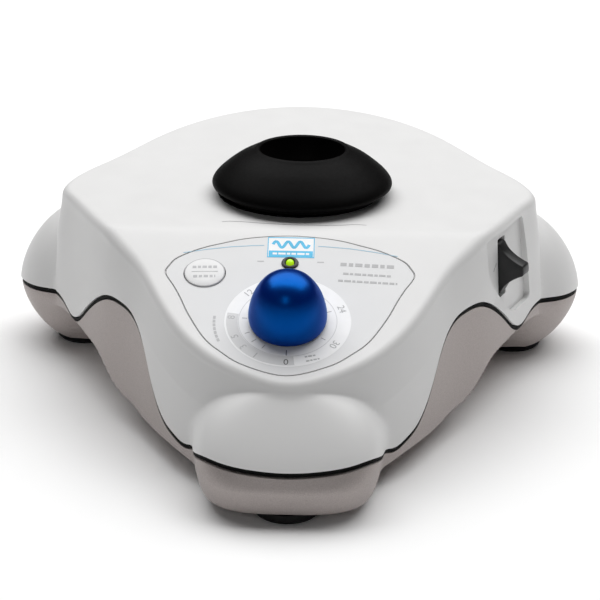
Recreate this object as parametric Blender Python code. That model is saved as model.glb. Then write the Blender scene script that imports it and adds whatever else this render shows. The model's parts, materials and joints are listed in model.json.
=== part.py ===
"""Vortex mixer for test tubes. Lengths are written in millimetres and turned into metres by M().
The front faces -Y. The plan is written about the middle of the top, and SHIFT moves it to the middle of the bounding box."""
import bpy
from math import atan2, cos, degrees, hypot, pi, radians, sin, sqrt, tan
from mathutils import Matrix, Vector

for old in list(bpy.data.objects):
    bpy.data.objects.remove(old)

SHIFT = 8.95  # mm added to every Y

# ------------------------------------------------------------------ the form
# Half of the plan of the upright wall, from the nose round the side corner to the rear.
PLAN = [(0, -97.8), (12, -94.5), (23, -88), (30.5, -80.5), (37.2, -70.5), (43.2, -59.5), (48.5, -51),
        (54.7, -42), (63.3, -25.5), (70.8, -11.5), (74.2, -4.0), (73.4, 3.5), (62.8, 25.5), (47, 57.5),
        (35.5, 74), (21, 86.5), (0, 93)]
# Height of the parting line by angle from the nose: high on each toe and in each arch, low between them.
PARTING = [(0, 15.5), (4.4, 15.9), (9.2, 16.6), (12.2, 16.5), (14.2, 14.9), (16, 12.4), (17.8, 10.9), (19.6, 10.9), (21.5, 11.9), (23.5, 13.1), (26.5, 16.6), (29.8, 23.0),
           (32.3, 28.8), (34.7, 33.0), (38.9, 36.9), (44.5, 38.1), (51, 37.4), (57.6, 33.6), (65.8, 26.4), (71.5, 21.3), (75.5, 20.5), (79, 22.0),
           (82.7, 23.4), (86.5, 23.0), (90.5, 21.9), (95, 21.1), (101, 20.2), (108, 20.4), (115, 21.4), (125, 22.8), (135, 23.4), (150, 24), (165, 24), (180, 24)]
# Height of the lower edge of the base wall by angle.
LOWER = [(0, 3.5), (14, 5.0), (20, 7.2), (26, 7.9), (33, 8.3), (39, 9.3), (44.5, 10.2), (49, 12.5), (53, 15.4),
         (57.5, 17.7), (63, 18.5), (70, 18.8), (76, 19.0), (80, 19.2), (86, 18), (92, 14), (110, 9), (150, 6), (180, 6)]
TOP, BREAK, SLOPE = 57.0, -39.5, radians(22)
WALL, GAP, SOLE = 2.6, 1.6, 3.2
DRAFT = tan(radians(4))
TOES = [dict(ang=0, c0=88, a=26.4, b=27.0, n=3.2, zw=10.0, zu=32.0, pa=2.45, pb=1.4, pc=1.0, b1=7.9, zb=3.0, back=3.0, side=1.05, zs=19.0),
        dict(ang=104.8, c0=70.3, a=22.8, b=22.8, n=2.0, zw=19.0, zu=45.5, pa=1.7, pb=1.7, pc=0.588, b1=0.0, zb=2.8, back=13.5, side=0.6, zs=19.0)]
# The walls lean in a little more just under the edge of the top, and the edge itself is rounded.
LEAN = [(0, 2.4), (17, 2.4), (30, 2.1), (38, 2.0), (43, 1.5), (48, 0.9), (56, 0.7), (66, 0.4), (76, 0.8), (83, 1.5), (89, 1.6), (97, 0.9), (110, 0.3), (130, 0), (180, 0)]
RIM = [(0, 2.2), (10, 2.4), (19, 3.0), (30, 3.0), (60, 3.0), (120, 3.0), (180, 3.0)]


def spline(points):
    """A cubic through the points, level at both ends."""
    xs, ys = [p[0] for p in points], [p[1] for p in points]
    n = len(xs)
    h = [xs[i + 1] - xs[i] for i in range(n - 1)]
    a, b, c, d = [0] * n, [0] * n, [0] * n, [0] * n
    b[0], c[0], d[0] = 2 * h[0], h[0], 6 * (ys[1] - ys[0]) / h[0]
    for i in range(1, n - 1):
        a[i], b[i], c[i] = h[i - 1], 2 * (h[i - 1] + h[i]), h[i]
        d[i] = 6 * ((ys[i + 1] - ys[i]) / h[i] - (ys[i] - ys[i - 1]) / h[i - 1])
    a[-1], b[-1], d[-1] = h[-1], 2 * h[-1], -6 * (ys[-1] - ys[-2]) / h[-1]
    for i in range(1, n):
        w = a[i] / b[i - 1]
        b[i] -= w * c[i - 1]
        d[i] -= w * d[i - 1]
    m = [0] * n
    m[-1] = d[-1] / b[-1]
    for i in range(n - 2, -1, -1):
        m[i] = (d[i] - c[i] * m[i + 1]) / b[i]

    def at(x):
        i = 0
        while i < n - 2 and x > xs[i + 1]:
            i += 1
        t, w = x - xs[i], h[i]
        u = w - t
        return (m[i] * u**3 + m[i + 1] * t**3) / (6 * w) + (ys[i] / w - m[i] * w / 6) * u + (ys[i + 1] / w - m[i + 1] * w / 6) * t

    return at


wall_r = spline([(degrees(atan2(x, -y)), hypot(x, y)) for x, y in PLAN])
part_z = spline(PARTING)
lower_z = spline(LOWER)
lean = spline(LEAN)
rim = spline(RIM)


def top_z(y):
    """The flat top, and the control panel that slopes down from it to the nose."""
    d = (BREAK - y) * tan(SLOPE)
    return TOP - 0.5 * (d + sqrt(d * d + 0.7**2))


def edge_z(ang):
    """Height at which the top would meet the wall if its edge were sharp."""
    return top_z(-cos(radians(ang)) * (wall_r(ang) - lean(ang) + DRAFT * 8))


def blend_max(a, b, k):
    """The larger of two, rounded where they meet, and exact further off."""
    h = max(k - abs(a - b), 0.0) / k
    return max(a, b) + h * h * k / 4


def toe_r(t, ang, z):
    """How far out a ray from the middle leaves a toe at height z, or 0 where it misses."""
    d = (sin(radians(ang)), -cos(radians(ang)))
    u = (sin(radians(t["ang"])), -cos(radians(t["ang"])))
    du, dv = d[0] * u[0] + d[1] * u[1], d[1] * u[0] - d[0] * u[1]
    a, b = t["a"], t["b"]
    if z >= t["zu"]:
        return 0.0
    if z > t["zw"]:
        q = (z - t["zw"]) / (t["zu"] - t["zw"])
        a *= (1 - q ** t["pa"]) ** (1 / t["pa"])
        b = t["b1"] + (b - t["b1"]) * (1 - q ** t["pb"]) ** t["pc"]
    if z < t["zs"]:
        q = min(1.0, (t["zs"] - z) / (t["zs"] - t["zb"]))
        w = t["back"] * (1 - (1 - q**1.6) ** (1 / 1.6))
        a, b = a - t["side"] * w, b - w
    if a < 0.3 or b < 0.3 or du < 0.3:
        return 0.0

    def past(r):
        return (abs(r * du - t["c0"]) / b) ** t["n"] + (abs(r * dv) / a) ** t["n"] > 1

    lo, hi = t["c0"] * du / (du * du + (dv * b / a) ** 2), t["c0"] + b + 5
    if past(lo):
        return 0.0
    for _ in range(26):
        m = (lo + hi) / 2
        lo, hi = (lo, m) if past(m) else (m, hi)
    return lo


def draft_r(ang, z):
    """The upright wall, which leans out a little towards the floor."""
    ang = abs(ang)
    near = min(1.0, max(0.0, (z - edge_z(ang) + 14) / 14))
    return wall_r(ang) + DRAFT * max(0.0, 52.0 - z) - lean(ang) * near


def outer_r(ang, z, inset=0.0, base=False):
    ang = abs(ang)
    r = draft_r(ang, z) - inset
    if base:
        r -= 1.7 * max(0.0, lower_z(ang) - z)
    front, side = [toe_r(t, ang, z) - inset for t in TOES]
    return blend_max(blend_max(r, side, 5.0), front, 1.2 + 5.8 * min(1.0, max(0.0, (30.0 - z) / 12)))


# Columns run round the plan, closer together where a toe meets the wall.
HALF = [0, 4, 8, 11, 13, 14.5, 16, 17.5, 19, 21, 24, 27, 30, 33, 36, 40, 44, 49, 54, 60, 66, 72, 77, 81, 84, 86.5, 88,
        89.5, 91.5, 94, 98, 103, 108, 112, 115, 117.5, 119.5, 121.5, 124, 128, 134, 141, 149, 157, 165, 173, 180]
ANGLES = [a for a in HALF] + [-a for a in reversed(HALF[1:-1])]


def M(p):
    return (p[0] / 1000, (p[1] + SHIFT) / 1000, p[2] / 1000)


def mesh(name, points, faces):
    data = bpy.data.meshes.new(name)
    data.from_pydata([M(p) for p in points], [], faces)
    data.update()
    obj = bpy.data.objects.new(name, data)
    bpy.context.scene.collection.objects.link(obj)
    return obj


def closed_grid(name, columns):
    """A torus-like skin: each column is a closed loop of points, and the last column joins the first."""
    m, n = len(columns[0]), len(columns)
    points = [p for col in columns for p in col]
    faces = []
    for i in range(n):
        j = (i + 1) % n
        for k in range(m):
            l = (k + 1) % m
            faces.append((i * m + k, j * m + k, j * m + l))
            faces.append((i * m + k, j * m + l, i * m + l))
    return outward(mesh(name, points, faces))


def outward(obj):
    """Turns the faces out when the signed volume comes out negative."""
    v = obj.data.vertices
    total = 0.0
    for f in obj.data.polygons:
        p = [v[i].co for i in f.vertices]
        for i in range(1, len(p) - 1):
            total += p[0].dot(p[i].cross(p[i + 1]))
    if total < 0:
        obj.data.flip_normals()
    return obj


def frame(origin, direction, turn=0.0):
    """A matrix whose Z axis is the direction, for shapes made about their own axis (mm)."""
    z = Vector(direction).normalized()
    side = Vector((0, 0, 1)) if abs(z.z) < 0.9 else Vector((0, 1, 0))
    x = side.cross(z).normalized() if abs(z.z) < 0.9 else Vector((1, 0, 0))
    x = (x - z * x.dot(z)).normalized()
    y = z.cross(x)
    R = Matrix((x, y, z)).transposed().to_4x4()
    return Matrix.Translation(Vector(origin)) @ R @ Matrix.Rotation(radians(turn), 4, "Z")


UP = frame((0, 0, 0), (0, 0, 1))


def lathe(name, profile, at=UP, steps=32):
    """Turns a closed (radius, height) outline about the axis. A radius of 0 is on the axis."""
    points, rings = [], []
    for r, z in profile:
        if r < 1e-6:
            rings.append([len(points)])
            points.append(at @ Vector((0, 0, z)))
        else:
            rings.append([len(points) + i for i in range(steps)])
            points += [at @ Vector((r * cos(2 * pi * i / steps), r * sin(2 * pi * i / steps), z)) for i in range(steps)]
    faces = []
    for k in range(len(rings)):
        a, b = rings[k], rings[(k + 1) % len(rings)]
        for i in range(steps):
            j = (i + 1) % steps
            if len(a) == 1 and len(b) == 1:
                continue
            if len(a) == 1:
                faces.append((a[0], b[j], b[i]))
            elif len(b) == 1:
                faces.append((a[i], a[j], b[0]))
            else:
                faces.append((a[i], a[j], b[j], b[i]))
    return outward(mesh(name, points, faces))


def rod(name, r, z0, z1, at=UP, steps=24):
    return lathe(name, [(0, z0), (r, z0), (r, z1), (0, z1)], at, steps)


def prism(name, outline, z0, z1, at=UP):
    n = len(outline)
    points = [at @ Vector((x, y, z0)) for x, y in outline] + [at @ Vector((x, y, z1)) for x, y in outline]
    faces = [tuple(reversed(range(n))), tuple(range(n, 2 * n))]
    faces += [(i, (i + 1) % n, n + (i + 1) % n, n + i) for i in range(n)]
    return outward(mesh(name, points, faces))


def rect(w, h, r=0.0, cx=0.0, cy=0.0, steps=4):
    if r <= 0:
        return [(cx - w / 2, cy - h / 2), (cx + w / 2, cy - h / 2), (cx + w / 2, cy + h / 2), (cx - w / 2, cy + h / 2)]
    out = []
    for k, (sx, sy) in enumerate(((1, 1), (-1, 1), (-1, -1), (1, -1))):
        for i in range(steps + 1):
            t = pi / 2 * (k + i / steps)
            out.append((cx + sx * (w / 2 - r) + r * cos(t), cy + sy * (h / 2 - r) + r * sin(t)))
    return out


def circle(r, steps=24, cx=0.0, cy=0.0):
    return [(cx + r * cos(2 * pi * i / steps), cy + r * sin(2 * pi * i / steps)) for i in range(steps)]


def combine(obj, tool, operation):
    """Joins or cuts one solid with another, keeps the result as plain mesh and clears the tool away."""
    tool.hide_render = True
    tool.display_type = "WIRE"
    mod = obj.modifiers.new("b", "BOOLEAN")
    mod.solver, mod.operation, mod.object = "EXACT", operation, tool
    bpy.context.view_layer.update()
    made = bpy.data.meshes.new_from_object(obj.evaluated_get(bpy.context.evaluated_depsgraph_get()))
    obj.modifiers.remove(mod)
    obj.data = made
    bpy.data.objects.remove(tool)
    return obj


def cut(obj, *tools):
    for tool in tools:
        combine(obj, tool, "DIFFERENCE")
    return obj


def join(obj, *tools):
    for tool in tools:
        combine(obj, tool, "UNION")
    return obj


# ------------------------------------------------------------------ places
AXIS = (0.0, -4.56)  # motor shaft
THROW = (1.13, -1.94)  # cup axis from the motor shaft at rest: 2.25 mm
CUP = (AXIS[0] + THROW[0], AXIS[1] + THROW[1])
SPIN = frame((AXIS[0], AXIS[1], 0), (0, 0, 1))
ORBIT = frame((CUP[0], CUP[1], 0), (0, 0, 1))

NORMAL = (0, -sin(SLOPE), cos(SLOPE))
DIAL_X, DIAL_Y = -1.0, -74.5
DIAL_Z = TOP - (BREAK - DIAL_Y) * tan(SLOPE)
# x to the right, y up the slope, z out of the panel
PANEL = Matrix.Translation(Vector((DIAL_X, DIAL_Y, DIAL_Z))) @ Matrix(((1, 0, 0), (0, cos(SLOPE), -sin(SLOPE)), (0, sin(SLOPE), cos(SLOPE)))).to_4x4()
KEY = (-24.0, 18.7)
LED = (-0.1, 23.3)

# The side control sits in a recess on the right flank, between the arch and the corner.
_p, _q = [Vector((draft_r(a, 40) * sin(radians(a)), -draft_r(a, 40) * cos(radians(a)), 0)) for a in (56.0, 78.0)]
_t = (_q - _p).normalized()
SIDE_N = Vector((_t.y, -_t.x, 0))
_m = Vector((draft_r(67, 40) * sin(radians(67)), -draft_r(67, 40) * cos(radians(67)), 0))
SIDE_C = _m + Vector((0, 0, 40.0))
# The wall leans by 4.3 degrees there. x runs rearward along the wall, y up it, z out of it.
_k = radians(4.3)
SIDE_UP = Vector((0, 0, cos(_k))) - SIDE_N * sin(_k)
SIDE_N = SIDE_N * cos(_k) + Vector((0, 0, sin(_k)))
SIDE = Matrix.Translation(SIDE_C) @ Matrix((_t, SIDE_UP, SIDE_N)).transposed().to_4x4()
RECESS = [(-14.8, 14.2), (-14.8, 4.5), (-12.8, 0.2), (-6.0, -6.4), (1.0, -12.0), (4.2, -13.4), (14.8, -13.2), (16.2, -12.0), (12.9, 13.2), (11.8, 14.3)]
PAD = [(x * 1.12, min(y * 1.1, 14.9)) for x, y in RECESS]
ROCK = (-1.4, 2.3)  # middle of the paddle on the wall

# ------------------------------------------------------------------ upper shell
columns = []
for ang in ANGLES:
    a = abs(ang)
    d = (sin(radians(ang)), -cos(radians(ang)))
    rho, zp = rim(a), part_z(a)
    ze = edge_z(a)
    loop = []
    for q in (0, 0.1, 0.22, 0.35, 0.48, 0.6, 0.72, 0.84, 1.0):
        z = zp + (ze - rho - zp) * q
        r = outer_r(a, z)
        loop.append((d[0] * r, d[1] * r, z))
    rw = r
    rb = rw - rho
    zt = top_z(d[1] * rb)
    for t in (0.33, 0.67, 1.0):
        w = 0.75
        s = (1 - t) ** 2 + 2 * w * t * (1 - t) + t * t
        r = ((1 - t) ** 2 * rw + 2 * w * t * (1 - t) * rw + t * t * rb) / s
        z = ((1 - t) ** 2 * (ze - rho) + 2 * w * t * (1 - t) * ze + t * t * zt) / s
        loop.append((d[0] * r, d[1] * r, z))
    # towards the round hole under the cup
    hx, hy = AXIS[0] + 17.5 * d[0], AXIS[1] + 17.5 * d[1]
    for q in (0.3, 0.6, 0.85, 1.0):
        x, y = d[0] * rb * (1 - q) + hx * q, d[1] * rb * (1 - q) + hy * q
        loop.append((x, y, top_z(y)))
    for q in (1.0, 0.6, 0.3, 0.0):
        x, y = d[0] * (rb - 1.2) * (1 - q) + hx * q, d[1] * (rb - 1.2) * (1 - q) + hy * q
        loop.append((x, y, top_z(y) - WALL))
    for q in (1.0, 0.5, 0.0):
        z = zp + (ze - WALL - 4.0 - zp) * q
        ri = draft_r(a, z) - WALL
        loop.append((d[0] * ri, d[1] * ri, z))
    columns.append(loop)
shell = closed_grid("upper_shell", columns)

# side recess: a thick pad inside the wall, a shallow rectangular recess and a slot for the paddle
join(shell, prism("t", PAD, -6.6, -1.2, SIDE))
cut(shell, prism("t", RECESS, -1.7, 8.0, SIDE))
cut(shell, prism("t", rect(5.4, 18.4, 0.6, *ROCK), -12, 2.0, SIDE))
# rear pad, pocket and opening for the power inlet
REAR = Matrix.Translation(Vector((0, 93, 38.0))) @ Matrix(((-1, 0, 0), (0, 0, 1), (0, 1, 0))).to_4x4()  # x to the left seen from behind, y up, z out
join(shell, prism("t", rect(38, 26.5, 1.5), -8.0, -0.1, REAR))
cut(shell, prism("t", rect(31.4, 24.4, 1.6), -2.3, 5.0, REAR))
cut(shell, prism("t", rect(27.8, 20.6, 1.0), -12.0, 2.0, REAR))
# control panel: label pocket, shaft, lamp and key openings
LABEL = [(0, 35), (12, 33.7), (20, 31.2), (26, 28.8), (31.8, 25.1), (33.9, 22.2), (35, 18.5), (32.3, 13.2), (30.2, 8.7),
         (27.3, 1.7), (22.6, -7), (18, -12), (11.4, -17), (0, -20.7)]
outline = LABEL + [(-x, y) for x, y in reversed(LABEL[1:-1])]
cut(shell, prism("t", [(x * 1.008, (y - 7) * 1.008 + 7) for x, y in outline], -0.5, 4.0, PANEL))
cut(shell, rod("t", 4.6, -8, 4, PANEL, 20))
cut(shell, rod("t", 2.3, -8, 4, PANEL @ Matrix.Translation(Vector((LED[0], LED[1], 0))), 16))
cut(shell, prism("t", [(KEY[0] + 6.0 * cos(2 * pi * i / 28), KEY[1] + 6.0 * sin(2 * pi * i / 28)) for i in range(28)], -8, 4, PANEL))

# ------------------------------------------------------------------ base casting
columns = []
for ang in ANGLES:
    a = abs(ang)
    d = (sin(radians(ang)), -cos(radians(ang)))
    zp = part_z(a) - GAP
    loop = []
    for q in (0, 0.12, 0.26, 0.42, 0.58, 0.72, 0.84, 0.93, 1.0):
        z = zp + (SOLE - zp) * q
        r = outer_r(a, z, 0.5, True)
        loop.append((d[0] * r, d[1] * r, z))
    loop.append((d[0] * 12, d[1] * 12, SOLE))
    loop.append((d[0] * 12, d[1] * 12, SOLE + 3.5))
    for q in (0.0, 0.35, 0.7, 1.0):
        z = SOLE + 3.5 + (zp - SOLE - 3.5) * q
        r = draft_r(a, z) - 4.0 - 1.7 * max(0.0, min(lower_z(a) + 2.2, zp) - z)
        loop.append((d[0] * r, d[1] * r, z))
    columns.append(loop)
base = closed_grid("base_casting", columns)
join(base, rod("t", 12.6, SOLE, SOLE + 3.5, UP, 47 * 2 - 2))
FEET = {"foot_front": (0, -102.5), "foot_left": (-69.5, 15), "foot_right": (69.5, 15), "foot_rear": (0, 72)}
for x, y in FEET.values():
    cut(base, rod("t", 4.4, 0, 9.0 if y > 50 else 11.0, frame((x, y, 0), (0, 0, 1)), 20))

# ------------------------------------------------------------------ black seal in the parting line
columns = []
for ang in ANGLES:
    a = abs(ang)
    d = (sin(radians(ang)), -cos(radians(ang)))
    zp = part_z(a)
    ro, ri = outer_r(a, zp) - 0.5, draft_r(a, zp) - WALL + 0.2
    ro = max(ro, ri + 1.0)
    columns.append([(d[0] * ro, d[1] * ro, zp - GAP + 0.3), (d[0] * ro, d[1] * ro, zp - 0.3), (d[0] * ri, d[1] * ri, zp - 0.3), (d[0] * ri, d[1] * ri, zp - GAP + 0.3)])
closed_grid("parting_seal", columns)

# ------------------------------------------------------------------ feet
for name, (x, y) in FEET.items():
    top = 6.0 if y > 50 else 8.0
    lathe(name, [(0, 0), (8.6, 0), (9.6, 1.0), (9.6, 2.9), (4.1, 2.9), (4.1, top), (0, top)], frame((x, y, 0), (0, 0, 1)), 28)

# ------------------------------------------------------------------ control panel pieces
label = prism("control_label", outline, -0.4, -0.02, PANEL)
cut(label, rod("t", 4.6, -2, 2, PANEL, 20))
cut(label, rod("t", 2.3, -2, 2, PANEL @ Matrix.Translation(Vector((LED[0], LED[1], 0))), 16))
cut(label, prism("t", [(KEY[0] + 6.0 * cos(2 * pi * i / 28), KEY[1] + 6.0 * sin(2 * pi * i / 28)) for i in range(28)], -2, 2, PANEL))
key = prism("mode_key", [(KEY[0] + 5.7 * cos(2 * pi * i / 28), KEY[1] + 5.7 * sin(2 * pi * i / 28)) for i in range(28)], -4.2, 0.35, PANEL)
join(key, rod("t", 1.6, -7.0, -4.0, PANEL @ Matrix.Translation(Vector((KEY[0], KEY[1], 0))), 12))
AT_LED = PANEL @ Matrix.Translation(Vector((LED[0], LED[1], 0)))
lathe("led_bezel", [(1.35, -3.0), (2.0, -3.0), (2.0, 0.05), (2.45, 0.05), (2.35, 0.45), (1.9, 0.6), (1.35, 0.45)], AT_LED, 24)
lathe("led_lens", [(0, -9.6), (1.1, -9.6), (1.1, 0.5), (0.8, 0.95), (0.4, 1.15), (0, 1.2)], AT_LED, 20)

# speed knob: a smooth dome with a skirt, hollow for its shaft
dome = [(0, 16.1), (2.6, 15.8), (4.9, 14.9), (6.9, 13.3), (8.4, 11.1), (9.6, 8.5), (10.4, 5.6), (10.8, 2.9), (10.7, 1.2), (10.4, 0.6)]
knob = lathe("speed_knob", dome[::-1] + [(0, 12.0), (3.15, 12.0), (3.15, 0.6)], PANEL, 36)
shaft = rod("pot_shaft", 2.9, -7.6, 11.6, PANEL, 20)
cut(rod("pot_nut", 6.2, -5.6, -3.6, PANEL, 6), rod("t", 3.3, -7, -2, PANEL, 20))
rod("potentiometer", 8.2, -15.5, -8.4, PANEL, 24)
board = prism("control_board", rect(58, 30, 1.5, 0, 11.5), -18.0, -16.4, PANEL)
prism("lamp_socket", rect(5, 4, 0, LED[0], LED[1]), -16.1, -10.0, PANEL)
prism("mode_switch_body", rect(6, 6, 0.4, KEY[0], KEY[1]), -16.1, -7.7, PANEL)

# ------------------------------------------------------------------ side rocker paddle
PIVOT = -5.4  # depth of its pin behind the wall face
upper = [(-1.5, 7.7), (-1.2, 7.3), (-0.2, 5.6), (1.1, 4.3), (2.5, 3.25), (3.8, 2.5), (5.0, 1.9), (5.8, 1.5), (6.1, 0.8)]
outline2 = [(-9.0, -5.0), (-4.6, -7.9), (-1.9, -7.9)] + [(x, -y) for x, y in upper] + list(reversed(upper)) + [(-1.9, 7.9), (-4.6, 7.9), (-9.0, 5.0)]
ROCKER = SIDE @ Matrix.Translation(Vector((*ROCK, 0)))
FLANK = ROCKER @ Matrix(((0, 0, 1), (0, 1, 0), (1, 0, 0))).to_4x4()  # x out of the wall, y up, z along the wall
prism("switch_paddle", outline2, -2.3, 2.3, FLANK)
switch = prism("switch_body", rect(9.4, 23.0, 0.6), -22.0, -7.0, ROCKER)
cut(switch, prism("t", rect(7.2, 20.2), -15.5, -5.0, ROCKER))

# ------------------------------------------------------------------ power inlet
inlet = prism("power_inlet", rect(30.6, 23.6, 1.4), -2.0, 0.0, REAR)
join(inlet, prism("t", rect(27.2, 20.0, 0.8), -24.0, -1.5, REAR))
C14 = [(-12, -7.8), (12, -7.8), (12, 3.6), (7.4, 8.0), (-7.4, 8.0), (-12, 3.6)]
cut(inlet, prism("t", C14, -18.5, 2.0, REAR))
for i, (x, y) in enumerate(((-7, -1.8), (0, 2.2), (7, -1.8))):
    prism("inlet_pin_%d" % (i + 1), rect(2.0, 4.0, 0, x, y), -18.2, -3.5, REAR)

# ------------------------------------------------------------------ drive
lathe("motor_can", [(0, 9.5), (24, 9.5), (25, 10.5), (25, 36.0), (24, 37.0), (9, 37.0), (9, 39.0), (3.4, 39.0), (3.4, 38.0), (0, 38.0)], SPIN, 32)
bracket = prism("motor_bracket", circle(36, 36) , 39.4, 41.4, SPIN)
cut(bracket, rod("t", 9.6, 38, 43, SPIN, 24))
PILLARS = [(31.5 * cos(radians(a)), 31.5 * sin(radians(a))) for a in (90, 210, 330)]
for x, y in PILLARS:
    cut(bracket, rod("t", 2.6, 38, 43, SPIN @ Matrix.Translation(Vector((x, y, 0))), 14))
for i, (x, y) in enumerate(PILLARS):
    at = SPIN @ Matrix.Translation(Vector((x, y, 0)))
    lathe("pillar_%d" % (i + 1), [(0, SOLE + 3.9), (4.5, SOLE + 3.9), (4.5, 32.0), (2.2, 32.0), (2.2, 45.5), (0, 45.5)], at, 16)
    # coil springs under the motor plate, which let the head be pressed down
    turns, steps, R, w = 3.2, 14, 3.6, 0.6
    n = int(turns * steps)
    loops = []
    for k in range(n + 1):
        t = 2 * pi * k / steps
        z = 33.1 + 5.0 * k / n
        ring = []
        for j in range(6):
            u = 2 * pi * j / 6
            ring.append(at @ Vector(((R + w * cos(u)) * cos(t), (R + w * cos(u)) * sin(t), z + w * sin(u))))
        loops.append(ring)
    points = [p for ring in loops for p in ring]
    faces = [tuple(reversed(range(6))), tuple(range(n * 6, n * 6 + 6))]
    for k in range(n):
        for j in range(6):
            l = (j + 1) % 6
            faces.append((k * 6 + j, k * 6 + l, (k + 1) * 6 + l, (k + 1) * 6 + j))
    outward(mesh("press_spring_%d" % (i + 1), points, faces))

# spinning parts: shaft, crank with its counterweight, and the crank pin on the cup axis
crank = rod("motor_shaft", 3.0, 38.4, 44.0, SPIN, 20)
hub = lathe("crank", [(0, 44.4), (9.0, 44.4), (9.0, 48.4), (0, 48.4)], SPIN, 28)
join(hub, rod("t", 3.9, 48.0, 55.2, ORBIT, 20))
TURN = SPIN @ Matrix.Rotation(atan2(-THROW[1], -THROW[0]), 4, "Z")
weight = [(14.5 * cos(radians(a)), 14.5 * sin(radians(a))) for a in range(-70, 71, 10)] + [(9.6 * cos(radians(a)), 9.6 * sin(radians(a))) for a in range(70, -71, -10)]
prism("counterweight", weight, 44.4, 49.6, TURN)

# orbiting parts: bearing, carrier, rubber cup
lathe("crank_bearing", [(4.2, 49.2), (8.0, 49.2), (8.0, 55.0), (4.2, 55.0)], ORBIT, 28)
lathe("cup_carrier", [(0, 55.8), (7.6, 55.8), (7.6, 56.2), (8.3, 56.2), (8.3, 49.4), (10.0, 49.4), (10.0, 59.4), (18.0, 59.4), (18.0, 60.4), (0, 60.4)], ORBIT, 32)
CUP_SIDE = [(13.0, 71.2), (13.5, 71.5), (14.2, 71.4), (15.4, 70.7), (17.8, 69.5), (20.1, 68.2), (22.2, 66.7), (24.3, 65.0), (26.2, 63.2), (27.3, 61.6), (27.3, 60.5), (26.4, 59.9), (24.9, 59.6), (24.4, 59.2), (24.4, 58.5)]
lathe("rubber_cup", CUP_SIDE + [(18.4, 58.5), (18.4, 60.8), (0, 60.8), (0, 62.2), (9.6, 62.2), (11.4, 64.4), (12.5, 68.0)], ORBIT, 48)
lathe("neck_seal", [(15.0, 57.1), (24.8, 57.1), (24.8, 57.5), (15.0, 57.5)], SPIN, 40)

# touch switch under the motor plate: pressing the cup lowers the plate onto its plunger
TOUCH = SPIN @ Matrix.Translation(Vector((0, -31.0, 0)))
prism("touch_switch", rect(13.0, 6.0, 0.4), 29.0, 36.4, TOUCH)
cut(bpy.data.objects["touch_switch"], prism("t", rect(3.4, 2.6), 33.0, 38.0, TOUCH))
prism("touch_plunger", rect(2.8, 2.0), 34.2, 39.1, TOUCH)
prism("touch_stand", rect(14.0, 8.0, 0.8), SOLE + 3.9, 28.7, TOUCH)

# supply board beside the motor, screws and the rating plate under the base
SUPPLY = frame((0, 52, 0), (0, 0, 1))
prism("supply_board", rect(62, 34, 1.5), 13.0, 14.6, SUPPLY)
for i, (x, y) in enumerate(((-27, -13), (27, -13), (-27, 13), (27, 13))):
    rod("standoff_%d" % (i + 1), 2.8, SOLE + 3.9, 12.6, SUPPLY @ Matrix.Translation(Vector((x, y, 0))), 12)
prism("supply_capacitor", circle(6.5, 16), 15.0, 27.0, SUPPLY @ Matrix.Translation(Vector((-18, -4, 0))))
prism("supply_transformer", rect(20, 18, 1), 15.0, 30.0, SUPPLY @ Matrix.Translation(Vector((12, 0, 0))))
prism("rating_plate", rect(34, 18, 1.5), SOLE - 0.5, SOLE - 0.2, frame((0, 40, 0), (0, 0, 1)))
for i, (x, y) in enumerate(((26, -58), (-26, -58), (46, 10), (-46, 10))):
    hole = frame((x, y, 0), (0, 0, 1))
    cut(base, rod("t", 4.2, 0, 5.6, hole, 16), rod("t", 2.1, 0, 12, hole, 12))
    lathe("case_screw_%d" % (i + 1), [(0, 3.4), (3.7, 3.4), (3.7, 5.3), (1.7, 5.3), (1.7, 13.0), (0, 13.0)], hole, 16)
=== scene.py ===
"""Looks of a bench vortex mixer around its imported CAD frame."""

import json
from math import atan2, cos, degrees, hypot, pi, radians, sin, sqrt, tan

import bpy
from mathutils import Matrix, Vector

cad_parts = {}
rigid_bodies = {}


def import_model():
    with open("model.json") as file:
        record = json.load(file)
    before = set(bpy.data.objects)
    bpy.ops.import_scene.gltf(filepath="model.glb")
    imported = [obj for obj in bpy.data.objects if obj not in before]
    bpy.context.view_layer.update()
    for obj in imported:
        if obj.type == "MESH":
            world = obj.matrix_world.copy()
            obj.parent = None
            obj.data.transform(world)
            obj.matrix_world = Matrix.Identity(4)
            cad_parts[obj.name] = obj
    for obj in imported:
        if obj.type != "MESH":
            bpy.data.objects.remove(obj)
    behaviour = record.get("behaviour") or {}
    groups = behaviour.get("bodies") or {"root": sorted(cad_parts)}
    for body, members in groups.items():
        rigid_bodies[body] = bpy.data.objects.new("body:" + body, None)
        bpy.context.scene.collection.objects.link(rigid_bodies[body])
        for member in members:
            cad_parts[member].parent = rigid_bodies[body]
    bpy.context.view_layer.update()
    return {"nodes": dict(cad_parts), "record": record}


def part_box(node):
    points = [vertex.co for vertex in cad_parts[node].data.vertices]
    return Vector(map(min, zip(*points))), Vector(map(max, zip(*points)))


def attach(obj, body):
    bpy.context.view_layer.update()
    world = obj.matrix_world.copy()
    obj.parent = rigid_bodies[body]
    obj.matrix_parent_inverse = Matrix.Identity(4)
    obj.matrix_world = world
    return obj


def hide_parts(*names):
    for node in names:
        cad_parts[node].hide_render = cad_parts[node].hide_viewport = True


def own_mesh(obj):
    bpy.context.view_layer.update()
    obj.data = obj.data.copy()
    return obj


for old in list(bpy.data.objects):
    bpy.data.objects.remove(old)

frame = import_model()
NODES = frame["nodes"]
SHIFT = 8.95  # mm added to every Y, as in the CAD

# ------------------------------------------------------------------ the form, in mm
PLAN = [(0, -97.8), (12, -94.5), (23, -88), (30.5, -80.5), (37.2, -70.5), (43.2, -59.5), (48.5, -51),
        (54.7, -42), (63.3, -25.5), (70.8, -11.5), (74.2, -4.0), (73.4, 3.5), (62.8, 25.5), (47, 57.5),
        (35.5, 74), (21, 86.5), (0, 93)]
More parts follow.
